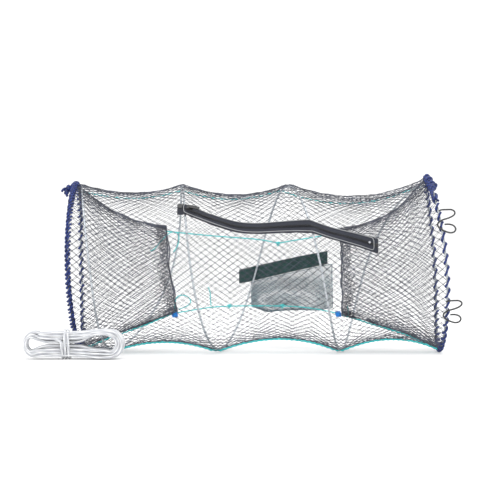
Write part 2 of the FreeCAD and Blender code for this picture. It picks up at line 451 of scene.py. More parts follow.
@dataclass(frozen=True)
class NetTwine(Finish):
    """Twisted netting twine, nearly black: a little faded in places, with a faint waxy shine."""

    dark: str = "#2b2e37"
    faded: str = "#5e6373"
    roughness: float = 0.5

    def make(self) -> bpy.types.Material:
        """Make the twine's material.

        Returns:
            The material.
        """
        mix = Mixing(self.name)
        fading = mix.ranged(mix.noise(35.0, 5.0), 0.35, 0.75)
        settings = {"wave_type": "BANDS", "bands_direction": "DIAGONAL", "Scale": 420.0, "Distortion": 2.0}
        strands = add_node(mix.tree, "ShaderNodeTexWave", settings, {"Vector": mix.place}).outputs[1]
        return mix.done({
            "Base Color": mix.tones(fading, self.dark, self.faded),
            "Roughness": self.roughness,
            "IOR": 1.51,
            "Normal": mix.raised(strands, 0.5, 0.0003),
        })


@dataclass(frozen=True)
class CordFinish(Finish):
    """Synthetic cord: strands that catch the light in slanting ridges, with painted shade darkening the
    grooves between them.
    """

    colour: str
    # The second colour is painted shade, laid in the hollows between the strands.
    groove_shade: str
    pitch: float
    strands: float
    lay: Lay
    roughness: float = 0.45
    ridge: float = 0.0004
    soil: float = 0.66

    def make(self) -> bpy.types.Material:
        """Make the cord's material. Its UV map runs in metres along the cord and from 0 to 1 around it.

        Returns:
            The material.
        """
        mix = Mixing(self.name)
        _, metres, around = mix.threads()
        along = mix.maths("DIVIDE", metres, self.pitch)
        turned = mix.maths("MULTIPLY", around, self.strands)
        ridges = []
        for slant in self.lay.value:
            wave = mix.maths("PINGPONG", mix.maths(slant, along, turned), 0.5)
            ridges.append(mix.ranged(wave, high=0.32, easing="SMOOTHSTEP"))
        height = mix.maths("MULTIPLY", *ridges) if len(ridges) > 1 else ridges[0]
        soil = mix.ranged(mix.noise(60.0, 6.0), first=self.soil, last=1.06)
        # Painted shade: the colour falls to the darker shade in the hollows where the ridges are low.
        tone = mix.tones(height, self.groove_shade, self.colour)
        varied = add_node(mix.tree, "ShaderNodeVectorMath", {"operation": "SCALE"}, {0: tone, "Scale": soil})
        return mix.done({
            "Base Color": varied.outputs[0],
            "Roughness": self.roughness,
            "IOR": 1.5,
            "Sheen Weight": 0.04,
            "Normal": mix.raised(height, 0.8, self.ridge),
        })


@dataclass(frozen=True)
class WovenTape(Finish):
    """Woven polyester tape: a fine herringbone that dulls the surface, with wear on the high threads."""

    colour: str
    worn: str
    thread: float = 0.0011  # drawn about twice as coarse as the real thread, so that it shows
    roughness: float = 0.8
    fuzz: float = 0.3

    def make(self) -> bpy.types.Material:
        """Make the tape's material. Its UV map is in metres.

        Returns:
            The material.
        """
        mix = Mixing(self.name)
        cloth, along, across = mix.threads()
        zigzag = mix.maths("PINGPONG", mix.maths("DIVIDE", across, self.thread * 4), 1.0)
        slant = mix.maths("MULTIPLY_ADD", zigzag, 2.0, mix.maths("DIVIDE", along, self.thread))
        thread = mix.ranged(mix.maths("PINGPONG", slant, 0.5), high=0.4, easing="SMOOTHSTEP")
        wear = mix.maths("MULTIPLY", thread, mix.noise(45.0, 8.0, cloth))
        return mix.done({
            "Base Color": mix.tones(wear, self.colour, self.worn),
            "Roughness": self.roughness,
            "Sheen Weight": self.fuzz,
            "Normal": mix.raised(thread, 0.7, 0.0003),
        })


@dataclass(frozen=True)
class NapTape(Finish):
    """Hook-and-loop tape: a dense nap of nylon loops that scatters light and shows as a fine grain."""

    colour: str
    tips: str
    grain: float = 900.0

    def make(self) -> bpy.types.Material:
        """Make the nap's material.

        Returns:
            The material.
        """
        mix = Mixing(self.name)
        nap = add_node(mix.tree, "ShaderNodeTexVoronoi", {"Scale": self.grain}, {"Vector": mix.place})
        loops = nap.outputs["Distance"]
        share = mix.maths("MULTIPLY", loops, mix.noise(70.0, 5.0))
        return mix.done({
            "Base Color": mix.tones(share, self.colour, self.tips),
            "Roughness": 0.95,
            "Sheen Weight": 0.5,
            "Normal": mix.raised(loops, 1.0, 0.0006),
        })


@dataclass(frozen=True)
class MouldedNylon(Finish):
    """Moulded nylon monofilament: black, with a soft shine and mould-fine unevenness."""

    colour: str = "#1a1b1d"
    roughness: float = 0.35

    def make(self) -> bpy.types.Material:
        """Make the nylon's material.

        Returns:
            The material.
        """
        mix = Mixing(self.name)
        skin = mix.noise(800.0, 3.0)
        return mix.done({
            "Base Color": linear(self.colour),
            "Roughness": mix.ranged(skin, first=self.roughness - 0.08, last=self.roughness + 0.15),
            "IOR": 1.53,
            "Normal": mix.raised(skin, 0.2, 0.0001),
        })


@dataclass(frozen=True)
class EnamelledZinc(Finish):
    """Die-cast zinc under black enamel, rubbed through to grey metal in small worn spots."""

    enamel: str = "#0d0e10"
    metal: str = "#4c4e52"

    def make(self) -> bpy.types.Material:
        """Make the slider's material.

        Returns:
            The material.
        """
        mix = Mixing(self.name)
        rub = mix.noise(420.0, 6.0)
        bare = mix.ranged(rub, 0.62, 0.66)
        return mix.done({
            "Base Color": mix.tones(bare, self.enamel, self.metal),
            "Metallic": bare,
            "Roughness": mix.ranged(rub, first=0.22, last=0.5),
        })


@dataclass(frozen=True)
class StudioPaper(Finish):
    """Matt white background paper, even and without gloss."""

    colour: str = "#f7f7f7"

    def make(self) -> bpy.types.Material:
        """Make the paper's material."""
        return Mixing(self.name).done(
            {"Base Color": linear(self.colour), "Roughness": 0.9, "Specular IOR Level": 0.1})


@dataclass(frozen=True)
class Palette:
    """Every finish on the trap, made once."""

    spring_wire: bpy.types.Material
    clip_wire: bpy.types.Material
    netting: bpy.types.Material
    lacing_rope: bpy.types.Material
    seam_cord: bpy.types.Material
    tie_cord: bpy.types.Material
    haul_rope: bpy.types.Material
    zip_tape: bpy.types.Material
    zip_teeth: bpy.types.Material
    zip_slider: bpy.types.Material
    thread: bpy.types.Material
    pouch_mesh: bpy.types.Material
    hook_and_loop: bpy.types.Material

    @classmethod
    def mixed(cls) -> "Palette":
        """Make every finish.

        Returns:
            The palette.
        """
        return cls(
            spring_wire=DrawnSteelWire("zinc_coated_drawn_spring_wire").make(),
            clip_wire=DippedWire("vinyl_dipped_steel_wire").make(),
            netting=NetTwine("twisted_polyethylene_twine").make(),
            # Each cord's second colour is the painted shade in the hollows between its strands.
            lacing_rope=CordFinish("twisted_polyethylene_rope_blue", "#142f78", "#0a1640", 0.0060, 1.0,
                                   Lay.TWISTED, roughness=0.6).make(),
            seam_cord=CordFinish("braided_nylon_cord_turquoise", "#52ecec", "#26bfc4", 0.0024, 2.0,
                                 Lay.BRAIDED, ridge=0.0002).make(),
            tie_cord=CordFinish("braided_polyester_cord_bright_blue", "#1aa4ff", "#0c74d0", 0.0024, 2.0,
                                Lay.BRAIDED, ridge=0.0002).make(),
            haul_rope=CordFinish("braided_polyester_rope_white", "#e4e5e6", "#b6b8be", 0.0060, 3.0,
                                 Lay.BRAIDED, roughness=0.7, ridge=0.0004, soil=0.86).make(),
            zip_tape=WovenTape("woven_polyester_zip_tape", "#1d202a", "#363a47", fuzz=0.05).make(),
            zip_teeth=MouldedNylon("moulded_nylon_coil_teeth").make(),
            zip_slider=EnamelledZinc("enamelled_zinc_slider").make(),
            thread=CordFinish("spun_polyester_thread_grey", "#c9cbcc", "#7b7d7f", 0.0015, 1.0, Lay.TWISTED,
                              roughness=0.7, ridge=0.0001).make(),
            pouch_mesh=NetTwine("knitted_polyester_mesh", "#42606a", "#7496a0", 0.6).make(),
            hook_and_loop=NapTape("nylon_hook_and_loop_tape_green", "#12302f", "#3f6a66").make(),
        )


# ---- the shape that every piece follows ----


@dataclass(frozen=True)
class Hoop:
    """One end hoop: a circle of wire that leans and is bowed by the pull of the netting."""

    radius: float
    middle_x: float
    lean: float
    bow: float
    middle_z: float
    yaw: float = 0.0

    def point(self, degrees: float, outwards: float = 0.0, along: float = 0.0) -> Vector:
        """A place on the hoop.

        Args:
            degrees: The angle round the trap.
            outwards: How far outside the wire's centreline.
            along: How far to the right of it.

        Returns:
            The place.
        """
        a = math.radians(degrees)
        r = self.radius + outwards
        x = (self.middle_x + self.lean * math.sin(a) + self.bow * math.cos(2 * a) - self.yaw * math.cos(a)
             + along)
        return Vector((x, -r * math.cos(a), self.middle_z + r * math.sin(a)))


@dataclass(frozen=True)
class TrapForm:
    """The hoops, the coil and the netting wall that hangs between their wires.

    The coil's places along the trap are given for each quarter turn, from its left end at the top.
    """

    left: Hoop = Hoop(0.140, -0.3115, -0.0035, -0.0035, 0.145)
    right: Hoop = Hoop(0.146, 0.300, -0.011, 0.0065, 0.151, 0.0035)
    coil_radius: float = 0.140
    coil_middle_z: float = 0.14345
    quarters_x: tuple[float, ...] = (-0.3025, -0.279, -0.2465, -0.152, -0.1326, -0.114, -0.068,
                                     -0.0034, 0.0476, 0.0995, 0.1385, 0.188, 0.2735)
    wire: float = 0.0035
    twine: float = 0.0010
    length: float = 0.61
    sag_left: float = 0.082
    sag_right: float = 0.122
    zip_grip: float = 0.97
    bait_grip: float = 0.72

    def supports(self, degrees: float) -> list[tuple[float, float, float]]:
        """What holds the netting out at an angle, from left to right.

        Args:
            degrees: The angle round the trap.

        Returns:
            For each hoop and each crossing of the coil: its x, the netting's radius and the middle's height.
        """
        out = self.wire / 2 + self.twine / 2
        rows = [(self.left.point(degrees).x, self.left.radius + out / 2, self.left.middle_z)]
        quarter = ((90.0 - degrees) / 90.0) % 4
        while quarter <= len(self.quarters_x) - 1:
            rows.append((along_values(self.quarters_x, quarter), self.coil_radius + out, self.coil_middle_z))
            quarter += 4
        rows.append((self.right.point(degrees).x, self.right.radius + out / 2, self.right.middle_z))
        return rows

    def stiffened(self, x: float, degrees: float) -> float:
        """How much of its slack the wall keeps at a place; the sewn zip and bait strips hold it out.

        Args:
            x: The place along the trap.
            degrees: The angle round it.

        Returns:
            The share that is kept.
        """
        angle = (degrees + 180) % 360 - 180
        zip_end = bump_at(x, 0.19, 0.10) * bump_at(angle, 16, 48)
        bait = bump_at(x, 0.045, 0.16) * bump_at(abs(angle), 180, 42)
        return 1.0 - self.zip_grip * zip_end - self.bait_grip * bait

    def wall(self, x: float, degrees: float, proud: float = 0.0) -> Vector:
        """A place on the netting wall, which sinks in between the wires.

        Args:
            x: The place along the trap.
            degrees: The angle round it.
            proud: How far outside the netting.

        Returns:
            The place.
        """
        rows = self.supports(degrees)
        after = next((i for i in range(1, len(rows)) if x <= rows[i][0]), len(rows) - 1)
        (x0, r0, z0), (x1, r1, z1) = rows[after - 1], rows[after]
        span = max(x1 - x0, MM)
        t = min(max((x - x0) / span, 0.0), 1.0)
        slack = self.sag_left + (self.sag_right - self.sag_left) * (x - self.left.middle_x) / self.length
        sag = slack * span * 4 * t * (1 - t) * self.stiffened(x, degrees)
        a = math.radians(degrees)
        radius = r0 + (r1 - r0) * t - sag + proud
        middle_z = z0 + (z1 - z0) * t
        return Vector((x, -radius * math.cos(a), middle_z + radius * math.sin(a)))

    def wall_share(self, share: float, degrees: float) -> Vector:
        """A place on the wall at a share of the way from the left hoop to the right one."""
        x0, x1 = self.left.point(degrees).x, self.right.point(degrees).x
        return self.wall(x0 + (x1 - x0) * share, degrees)


@dataclass(frozen=True)
class Bench:
    """Fits finished pieces to the frame: material, body, a mesh of their own for pieces that crumple, and the
    CAD nodes that they stand for, which are hidden.
    """

    form: TrapForm
    palette: Palette
    flat_share: float = 0.0286

    def fit(self, piece: bpy.types.Object, body: Body, slot: str, finish: bpy.types.Material | None = None,
            crumples: bool = False, replaces: Sequence[str] = ()) -> bpy.types.Object:
        """Fit one piece.

        Args:
            piece: The piece, in place.
            body: The body that it rides on.
            slot: The name of its finish in the palette.
            finish: Its material, or None for the palette's finish of the slot's name.
            crumples: Whether it gets a mesh of its own, as a piece that crumples when the trap folds.
            replaces: The CAD nodes that it stands for.

        Returns:
            The same piece.
        """
        piece.data.materials.clear()
        piece.data.materials.append(finish or getattr(self.palette, slot))
        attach(piece, body.value)
        if crumples:
            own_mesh(piece)
        if replaces:
            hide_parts(*replaces)
        LOG.info("%s: %d faces, on %s", piece.name, len(getattr(piece.data, "polygons", ())), body.value)
        return piece

    def dress(self, node: str, slot: str) -> None:
        """Give a CAD node its finish.

        Args:
            node: The node's name.
            slot: The finish's name in the palette.
        """
        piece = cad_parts[node]
        piece.data.materials.clear()
        piece.data.materials.append(getattr(self.palette, slot))
        LOG.info("%s: kept from the frame", node)


# ---- netting ----


@dataclass(frozen=True)
class DiamondNet:
    """Knotted netting: straight twine between knots, in diamonds that hang on a surface."""

    rows: int
    columns: int
    twine: float = 0.00085
    knot: float = 0.0020
    stray: float = 0.0015

    def mesh(self, surface: Surface, keep: Callable[[Vector], bool] | None = None) -> bmesh.types.BMesh:
        """Knot the net over a surface.

        Args:
            surface: Gives a place for a share along and a share around.
            keep: Says from a diamond's middle whether it belongs; all of them do without it.

        Returns:
            The twine and the knots as one bmesh.
        """
        net = bmesh.new()
        bmesh.ops.create_grid(net, x_segments=self.rows, y_segments=self.columns, size=0.5)
        squares = net.edges[:]
        bmesh.ops.poke(net, faces=net.faces[:])
        inner = [e for e in squares if len(e.link_faces) == 2]
        bmesh.ops.dissolve_edges(net, edges=inner, use_verts=False)
        for vert in net.verts:
            along, around = vert.co.x + 0.5, vert.co.y + 0.5
            inside = min(along, 1 - along) > 0.5 / self.rows
            place = surface(along, around)
            vert.co = place + wander(place * 70, self.stray if inside else 0.0)
        bmesh.ops.remove_doubles(net, verts=net.verts[:], dist=0.0002)
        if keep is not None:
            lost = [f for f in net.faces if not keep(f.calc_center_median())]
            bmesh.ops.delete(net, geom=lost, context="FACES")
        knots = [v.co.copy() for v in net.verts]
        bmesh.ops.wireframe(net, faces=net.faces[:], thickness=self.twine, use_replace=True,
                            use_boundary=True, use_even_offset=False)
        self.tie(net, knots)
        return net

    def tie(self, net: bmesh.types.BMesh, places: Sequence[Vector], batch: int = 60) -> None:
        """Add a small lump of twine at each knot.

        Args:
            net: The bmesh that takes them.
            places: Where the knots are.
            batch: How many are shaped at a time.
        """
        for first in range(0, len(places), batch):
            group = bmesh.new()
            for place in places[first:first + batch]:
                lie = Matrix.Rotation(wander(place * 900, 3.0).x, 4, "X")
                bmesh.ops.create_uvsphere(group, u_segments=4, v_segments=2, radius=self.knot / 2,
                                          matrix=Matrix.Translation(place) @ lie)
            mesh = bpy.data.meshes.new("knots")
            group.to_mesh(mesh)
            group.free()
            net.from_mesh(mesh)
            bpy.data.meshes.remove(mesh)


@dataclass(frozen=True)
class Funnel:
    """A netting funnel from a hoop in to an upright slit."""

    side: str
    hoop: Hoop
    slit_x: float
    slit_lean: float
    slit_z: float
    heights: tuple[float, ...]
    depths: tuple[float, ...]
    widths: tuple[float, ...]
    rows: int = 13
    columns: int = 72
    edge: float = 0.003
    loose: float = 0.3

    def place(self, share: float, around: float) -> Vector:
        """A place on the funnel.

        Args:
            share: How far in from the hoop, from 0 to 1.
            around: The share of the way round, from the bottom.

        Returns:
            The place.
        """
        degrees = 360 * around - 90
        a = math.radians(degrees)
        rim = self.hoop.point(degrees, -self.edge)
        step = share * (len(self.heights) - 1)
        half_height = along_values(self.heights if math.sin(a) > 0 else self.depths, step)
        half_width = along_values(self.widths, step)
        middle_z = self.hoop.middle_z + (self.slit_z - self.hoop.middle_z) * share
        near = max(share - (1 - self.loose), 0.0) / self.loose
        gather = near * (0.0022 * math.sin(17 * a) + 0.0016 * math.sin(5 * a + 1))
        creased = wander(Vector((math.cos(a) * 0.4, math.sin(a) * 3.1, self.slit_x * 40)), 0.0055 * near).x
        x = rim.x + (self.slit_x + creased - self.slit_lean * math.sin(a) - rim.x) * share
        return Vector((x, -(half_width + gather) * math.cos(a),
                       middle_z + (half_height + gather / 2) * math.sin(a)))

    def bunched(self, along: float, around: float) -> Vector:
        """A place in the loose netting that is bunched at the slit.

        Args:
            along: The share across its hem.
            around: The share of the way round, from the bottom.

        Returns:
            The place.
        """
        a = 2 * math.pi * around
        deep = 0.095 * along * (1 + 0.25 * math.sin(9 * a) + 0.2 * math.sin(5 * a + 1))
        fold = 0.0045 * math.sin(19 * a) * math.sin(math.pi * along)
        shift = Vector((0, -fold * math.cos(a) - 0.003 * math.cos(a) * along, 0.0015 * math.sin(23 * a)))
        return self.place(1.0 - deep, around) + shift


@dataclass(frozen=True)
class Netting:
    """The netting tube, its two funnels and the cords round the slits."""

    bench: Bench
    rows: int = 41
    columns: int = 72
    band: float = 0.024
    slit_cord: float = 0.0020

    def funnels(self) -> tuple[Funnel, Funnel]:
        """The two funnels, left and right.

        Returns:
            The funnels.
        """
        form = self.bench.form
        left = Funnel("left", form.left, -0.152, 0.009, 0.140, (0.137, 0.104, 0.083, 0.073),
                      (0.137, 0.1155, 0.0945, 0.073), (0.137, 0.075, 0.038, 0.008))
        right = Funnel("right", form.right, 0.139, 0.001, 0.1355, (0.143, 0.100, 0.081, 0.0735),
                       (0.143, 0.1150, 0.0930, 0.0735), (0.143, 0.084, 0.046, 0.008))
        return left, right

    def in_band(self, place: Vector) -> bool:
        """Whether a place is in the strip of netting that stays with the right hoop as the trap folds."""
        return place.x > self.bench.form.right.middle_x - self.band

    def drifting(self, along: float, around: float) -> Vector:
        """A place on the wall, with the netting's slow drift.

        Args:
            along: The share of the way from the left hoop to the right one.
            around: The share of the way round, from the bottom.

        Returns:
            The place.
        """
        form = self.bench.form
        degrees = 360 * around - 90
        drift = wander(form.wall_share(along, degrees) * 9, 1.0)
        held = math.sin(math.pi * along)
        return form.wall_share(along + 0.006 * held * drift.x, degrees + 1.6 * held * drift.y)

    def build(self) -> None:
        """Knot the wall and the funnels, with strips that stay with the right hoop."""
        wall = DiamondNet(self.rows, self.columns)
        body = shown("netting_tube", wall.mesh(self.drifting, lambda p: not self.in_band(p)))
        self.bench.fit(body, Body.TRAP, "netting", crumples=True, replaces=["net_body"])
        edge = shown("netting_tube_right_edge", wall.mesh(self.drifting, self.in_band))
        self.bench.fit(edge, Body.RIGHT_END, "netting")
        for funnel in self.funnels():
            self.build_funnel(funnel)

    def build_funnel(self, funnel: Funnel) -> None:
        """Knot one funnel and gather it onto the cord round its slit.

        Args:
            funnel: The funnel.
        """
        bench = self.bench
        net = DiamondNet(funnel.rows, funnel.columns, stray=0.0012)
        parts = {f"netting_funnel_{funnel.side}": (lambda p: not self.in_band(p), Body.TRAP)}
        if funnel.side == "right":
            parts["netting_funnel_right_edge"] = (self.in_band, Body.RIGHT_END)
        for name, (keep, body) in parts.items():
            main = body is Body.TRAP
            piece = shown(name, net.mesh(funnel.place, keep))
            stands_for = [f"funnel_{funnel.side}"] if main else []
            bench.fit(piece, body, "netting", crumples=main, replaces=stands_for)
        ring = [funnel.place(1.0, i / funnel.columns) for i in range(funnel.columns)]
        rim = cord_mesh(f"slit_cord_{funnel.side}", [ring], self.slit_cord, closed=True)
        bench.fit(rim, Body.TRAP, "netting", crumples=True, replaces=[f"throat_rim_{funnel.side}"])
        frill = DiamondNet(4, funnel.columns, twine=0.0008, knot=0.0016, stray=0.0034)
        hem = shown(f"slit_gathers_{funnel.side}", frill.mesh(funnel.bunched))
        bench.fit(hem, Body.TRAP, "netting", crumples=True)


# ---- wire ----


@dataclass(frozen=True)
class Wirework:
    """The hoops, the coil and the two locking clips."""

    bench: Bench

    def build(self) -> None:
        """Dress the hoops and the clips, and copy the coil so that it can be pressed flat."""
        bench = self.bench
        for node in ("left_hoop", "right_hoop"):
            bench.dress(node, "spring_wire")
        for node in ("clip_upper", "clip_lower"):
            bench.dress(node, "clip_wire")
        coil = bmesh.new()
        coil.from_mesh(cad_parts["spring_coil"].data)
        bmesh.ops.remove_doubles(coil, verts=coil.verts[:], dist=0.00002)
        piece = shown("coil_of_spring_wire", coil)
        bench.fit(piece, Body.TRAP, "spring_wire", crumples=True, replaces=["spring_coil"])


# ---- lacing ----


@dataclass(frozen=True)
class Lacing:
    """Blue rope wound in long slanting turns round each hoop wire, with its ends tied off at the top."""

    bench: Bench
    rope: float = 0.0037
    pitch: float = 0.0190
    steps: int = 16
    lean: float = 0.72

    def wound(self, hoop: Hoop, first: float, last: float, turns: float, distance: float,
              shake: float = 0.5, phase: float = 0.0) -> list[Vector]:
        """A winding round part of a hoop wire.

        Args:
            hoop: The hoop.
            first: The angle where it starts.
            last: The angle where it ends.
            turns: How many turns it makes.
            distance: From the wire's centreline to the rope's.
            shake: How uneven the turns are.
            phase: Where round the wire it starts, in radians.

        Returns:
            The rope's route.
        """
        route = []
        count = int(turns * self.steps)
        for i in range(count + 1):
            t = i / count
            degrees = first + (last - first) * t
            uneven = wander(Vector((degrees / 7, turns, hoop.middle_x * 9)), shake)
            a = 2 * math.pi * turns * t + 0.6 * uneven.x + phase
            a -= self.lean * math.cos(math.radians(degrees)) * math.sin(a)
            r = distance + 0.0003 * uneven.y
            place = hoop.point(degrees, r * math.cos(a), r * math.sin(a))
            place.z = max(place.z, self.rope / 2 + 0.0004)
            route.append(place)
        return route

    def build(self) -> None:
        """Wind both hoops and tie the ropes off."""
        form, bench = self.bench.form, self.bench
        reach = (form.wire + self.rope) / 2 - 0.0002
        for side, hoop, body in (("left", form.left, Body.TRAP), ("right", form.right, Body.RIGHT_END)):
            turns = 2 * math.pi * hoop.radius / (self.pitch * (0.8 if side == "left" else 1.0))
            ropes = [self.wound(hoop, 88, 448, turns, reach)]
            if side == "left":
                ropes += [self.wound(hoop, -64, 86, turns * 150 / 360, reach + 0.0005),
                          self.wound(hoop, -96, -56, 3, reach + 0.0020, 1.0)]
            piece = cord_mesh(f"lacing_rope_{side}", ropes, self.rope, sides=1, rings=2)
            bench.fit(piece, body, "lacing_rope", replaces=[f"lacing_{side}"])
        self.tie_left(Body.TRAP)
        self.tie_right(Body.RIGHT_END)

    def tie_left(self, body: Body) -> None:
        """Tie the left rope's ends beside the top of the left hoop.

        Args:
            body: The body that the knot rides on.
        """
        hoop = self.bench.form.left
        low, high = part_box("lacing_knot_left")
        middle = (low + high) / 2 + Vector((0.0, 0.0, -0.009))
        loops = [knot_route(middle + Vector(shift) * MM, 0.0046, Matrix.Rotation(turn, 3, "Y"))
                 for shift, turn in (((0, 0, 0), 0.3), ((3, -2, 3), 1.4), ((1, -3, -3), 2.2))]
        piece = cord_mesh("lacing_knot_left_loops", loops, self.rope * 1.2, sides=1, closed=True)
        self.bench.fit(piece, body, "lacing_rope", replaces=["lacing_knot_left"])
        top = hoop.point(84, 0.004)
        leading_in = (((0, 0, 0), (-5, -3, -2), (8, -2, 6)), ((2, -3, -3), (-4, -5, -5), (8, -4, 3)))
        hanging = (((-3, -3, 3), (-6, -4, 1), (-8, -5, -3)), ((-1, -4, -4), (0, -6, -8), (2, -6, -11)))
        tails = [[top + Vector(first) * MM, top + Vector(second) * MM, middle + Vector(third) * MM, middle]
                 for first, second, third in leading_in]
        tails += [[middle, *(middle + Vector(shift) * MM for shift in shifts)] for shifts in hanging]
        tails.append(self.wound(hoop, 76, 87, 1.2, 0.0044))
        piece = cord_mesh("lacing_tails_left", tails, self.rope * 1.1, sides=1)
        self.bench.fit(piece, body, "lacing_rope")

    def tie_right(self, body: Body) -> None:
        """Whip the right rope's end in long turns round the top of the right hoop, and knot it.

        Args:
            body: The body that the knot rides on.
        """
        hoop = self.bench.form.right
        whipping = [self.wound(hoop, 46, 91, 2.2, 0.0042, 0.8, k * math.pi / 2) for k in range(3)]
        whipping += [self.wound(hoop, 58, 80, 3, 0.0058, 0.8)]
        low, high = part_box("lacing_knot_right")
        middle = (low + high) / 2
        piece = cord_mesh("lacing_whipping_right", whipping, self.rope * 1.1, sides=1)
        self.bench.fit(piece, body, "lacing_rope", replaces=["lacing_knot_right"])
        loops = [knot_route(middle + Vector((-0.001, -0.010, -0.012)), 0.0048, Matrix.Rotation(0.7, 3, "Y"))]
        piece = cord_mesh("lacing_knot_right_loops", loops, self.rope, sides=1, closed=True)
        self.bench.fit(piece, body, "lacing_rope")


# ---- seams, throat cords and ties ----


@dataclass(frozen=True)
class Cords:
    """Turquoise seams and throat cords, and the bright blue ties at the foot of each slit."""

    bench: Bench
    netting: Netting
    cord: float = 0.0019
    tie_cord: float = 0.0024
    least_height: float = 0.0044
    under: Vector = Vector((0, -0.35, -1)).normalized()
    upper: tuple[tuple[float, float], ...] = (
        (-0.161, 0.2055), (-0.128, 0.202), (-0.092, 0.1985), (-0.055, 0.1955), (-0.018, 0.193),
        (0.010, 0.190), (0.0305, 0.1845), (0.052, 0.189), (0.084, 0.194), (0.112, 0.1985), (0.137, 0.2075))
    lower: tuple[tuple[float, float], ...] = (
        (-0.143, 0.0665), (-0.116, 0.071), (-0.082, 0.0765), (-0.052, 0.0782), (-0.010, 0.0785),
        (0.030, 0.0783), (0.058, 0.0778), (0.088, 0.0745), (0.113, 0.0700), (0.136, 0.0650))
    upper_knots: tuple[tuple[float, float], ...] = ((0.0305, 0.1845),)
    lower_knots: tuple[tuple[float, float], ...] = ((-0.052, 0.0782), (0.038, 0.0783))

    def seam(self, name: str, line: Line, out: Vector, turns: int, node: str, weight: float) -> None:
        """Sew one seam: a cord laid along the edge and a cord whipped over it in a flat spiral.

        Args:
            name: The piece's name.
            line: The seam's line, for a share from 0 to 1.
            out: The direction away from the netting.
            turns: How many stitches there are.
            node: The CAD node that it stands for.
            weight: Its thickness, as a share of the other cords'.
        """
        laid = [line(i / 60) for i in range(61)]
        sway = out.cross(Vector((1, 0, 0)))
        whipped = []
        count = turns * 6
        for i in range(count + 1):
            a = 2 * math.pi * turns * (i / count)
            whipped.append(line(i / count) + out * 0.0009 * math.sin(a) + sway * 0.0019 * math.cos(a))
        piece = cord_mesh(name, [laid, whipped], self.cord * weight, sides=1, rings=2)
        self.bench.fit(piece, Body.TRAP, "seam_cord", crumples=True, replaces=[node])

    def wall_line(self, degrees: float, share: float) -> Vector:
        """The line of a seam along the wall, kept clear of the ground.

        Args:
            degrees: The seam's angle round the trap.
            share: How far along it, from 0 to 1.

        Returns:
            The place.
        """
        place = self.bench.form.wall_share(0.006 + 0.988 * share, degrees) + outward(degrees) * 0.0014
        return Vector((place.x, place.y, max(place.z, self.least_height)))

    def funnel_line(self, funnel: Funnel, share: float) -> Vector:
        """The line of the seam under a funnel, for a share from 0 to 1."""
        return funnel.place(0.04 + 0.95 * share, 0.0) + self.under * 0.002

    def build(self) -> None:
        """Sew the seams, run the throat cords and tie the slits."""
        for side, degrees, weight in (("bottom", 279.0, 1.35), ("top", 113.0, 0.6)):
            self.seam(f"seam_along_{side}", partial(self.wall_line, degrees), outward(degrees), 70,
                      f"seam_{side}", weight)
        for funnel in self.netting.funnels():
            self.seam(f"seam_of_funnel_{funnel.side}", partial(self.funnel_line, funnel), self.under, 18,
                      f"funnel_seam_{funnel.side}", 1.15)
        self.throat_cord("throat_cord_upper_run", self.upper, self.upper_knots, "throat_cord_upper")
        self.throat_cord("throat_cord_lower_run", self.lower, self.lower_knots, "throat_cord_lower")
        self.tails()
        self.ties()

    def throat_cord(self, name: str, run: Sequence[tuple[float, float]], knots: Sequence[tuple[float, float]],
                    node: str) -> None:
        """Run one throat cord from slit to slit, and tie its knots.

        Args:
            name: The piece's name.
            run: Its places as x and z, in the trap's middle plane.
            knots: The places of its knots.
            node: The CAD node that it stands for.
        """
        route = [Vector((x, 0, z)) for x, z in run]
        piece = cord_mesh(name, [route], self.cord)
        self.bench.fit(piece, Body.TRAP, "seam_cord", crumples=True, replaces=[node])
        loops = [knot_route(Vector((x, 0, z)), 0.0036, Matrix.Rotation(1.2, 3, "X")) for x, z in knots]
        piece = cord_mesh(f"{name}_knots", loops, self.cord * 0.9, closed=True)
        self.bench.fit(piece, Body.TRAP, "seam_cord", crumples=True)

    def tails(self) -> None:
        """Lay the loose cord ends at the slits and hang the one at the knot."""
        loops = [
            [(-0.186, 0.172), (-0.181, 0.173), (-0.173, 0.183), (-0.160, 0.198), (-0.150, 0.205),
             (-0.139, 0.203), (-0.137, 0.192), (-0.141, 0.178), (-0.147, 0.170)],
            [(-0.145, 0.068), (-0.146, 0.086), (-0.138, 0.098), (-0.122, 0.095), (-0.116, 0.085),
             (-0.126, 0.076), (-0.138, 0.073)],
            [(-0.083, 0.078), (-0.085, 0.092), (-0.084, 0.102), (-0.088, 0.110)],
            [(0.136, 0.066), (0.146, 0.060), (0.152, 0.066), (0.149, 0.078)],
        ]
        routes = [[Vector((x, 0.004 * math.sin(9 * i), z)) for i, (x, z) in enumerate(loop)]
                  for loop in loops]
        piece = cord_mesh("throat_cord_tails", routes, self.cord * 0.9)
        self.bench.fit(piece, Body.TRAP, "seam_cord", crumples=True)

    def ties(self) -> None:
        """Tie the bright blue knots at the foot of each slit."""
        for side in ("left", "right"):
            low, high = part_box(f"throat_tie_{side}")
            middle = (low + high) / 2
            raised = 0.0020 if side == "left" else 0.0065
            loops = [knot_route(middle + Vector((0, 0, raised + dz)), 0.0048, Matrix.Rotation(turn, 3, "Z"))
                     for dz, turn in ((0.0022, 0.4), (0.0, 1.1), (-0.0022, 1.7))]
            piece = cord_mesh(f"slit_tie_{side}", loops, self.tie_cord, closed=True)
            self.bench.fit(piece, Body.TRAP, "tie_cord", crumples=True, replaces=[f"throat_tie_{side}"])


# ---- bands that lie on the wall ----


